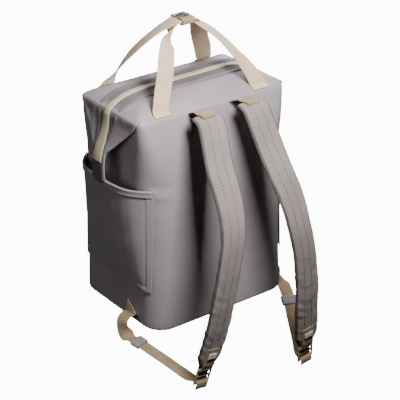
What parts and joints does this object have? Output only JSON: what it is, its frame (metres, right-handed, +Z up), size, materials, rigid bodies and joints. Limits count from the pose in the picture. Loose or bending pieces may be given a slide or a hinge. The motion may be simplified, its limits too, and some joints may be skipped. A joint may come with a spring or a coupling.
{
  "type": "cooler backpack",
  "caption": "Soft insulated cooler backpack hanging by gathered webbing handles, with a zipped top folded down over both sides, side pockets and padded shoulder straps.",
  "frame": {"origin": "middle of the underside of the wrap that gathers the carry handles, where a hand or hook holds the bag up", "axes": "+Z up; X along the zip; the harness side with the shoulder straps faces -Y"},
  "size_m": [0.3709, 0.3601, 0.6354],
  "materials": {
    "coated_fabric": "satin coated",
    "dark_patch": "satin coated",
    "slider_plastic": "satin",
    "zip_tape": "fine ribbed",
    "zip_coil": "satin",
    "cream_webbing": "woven",
    "tan_webbing": "woven",
    "snap_cap": "satin",
    "strap_fabric": "twill",
    "pale_tag": "woven",
    "buckle_plastic": "satin",
    "keeper_plastic": "satin"
  },
  "bodies": {
    "root": {"body": "coated_fabric", "wing_right": "coated_fabric", "wing_left": "coated_fabric", "wing_patch_right": "dark_patch", "wing_patch_left": "dark_patch", "zip_tape": "zip_tape", "zip_band": "zip_coil", "zip_slider": "slider_plastic", "pocket_right": "coated_fabric", "pocket_left": "coated_fabric", "pocket_hem_right": "coated_fabric", "pocket_hem_left": "coated_fabric", "handle_back": "cream_webbing", "handle_front": "cream_webbing", "handle_wrap": "tan_webbing", "handle_snap": "snap_cap", "webbing_anchor_right": "tan_webbing", "webbing_anchor_left": "tan_webbing", "shoulder_strap_right": "strap_fabric", "strap_anchor_right": "tan_webbing", "buckle_tab_right": "tan_webbing", "end_tag_right": "pale_tag", "ladder_buckle_right": "buckle_plastic", "lower_webbing_right": "tan_webbing", "keeper_right": "keeper_plastic", "shoulder_strap_left": "strap_fabric", "strap_anchor_left": "tan_webbing", "buckle_tab_left": "tan_webbing", "end_tag_left": "pale_tag", "ladder_buckle_left": "buckle_plastic", "lower_webbing_left": "tan_webbing", "keeper_left": "keeper_plastic"}
  },
  "joints": []
}
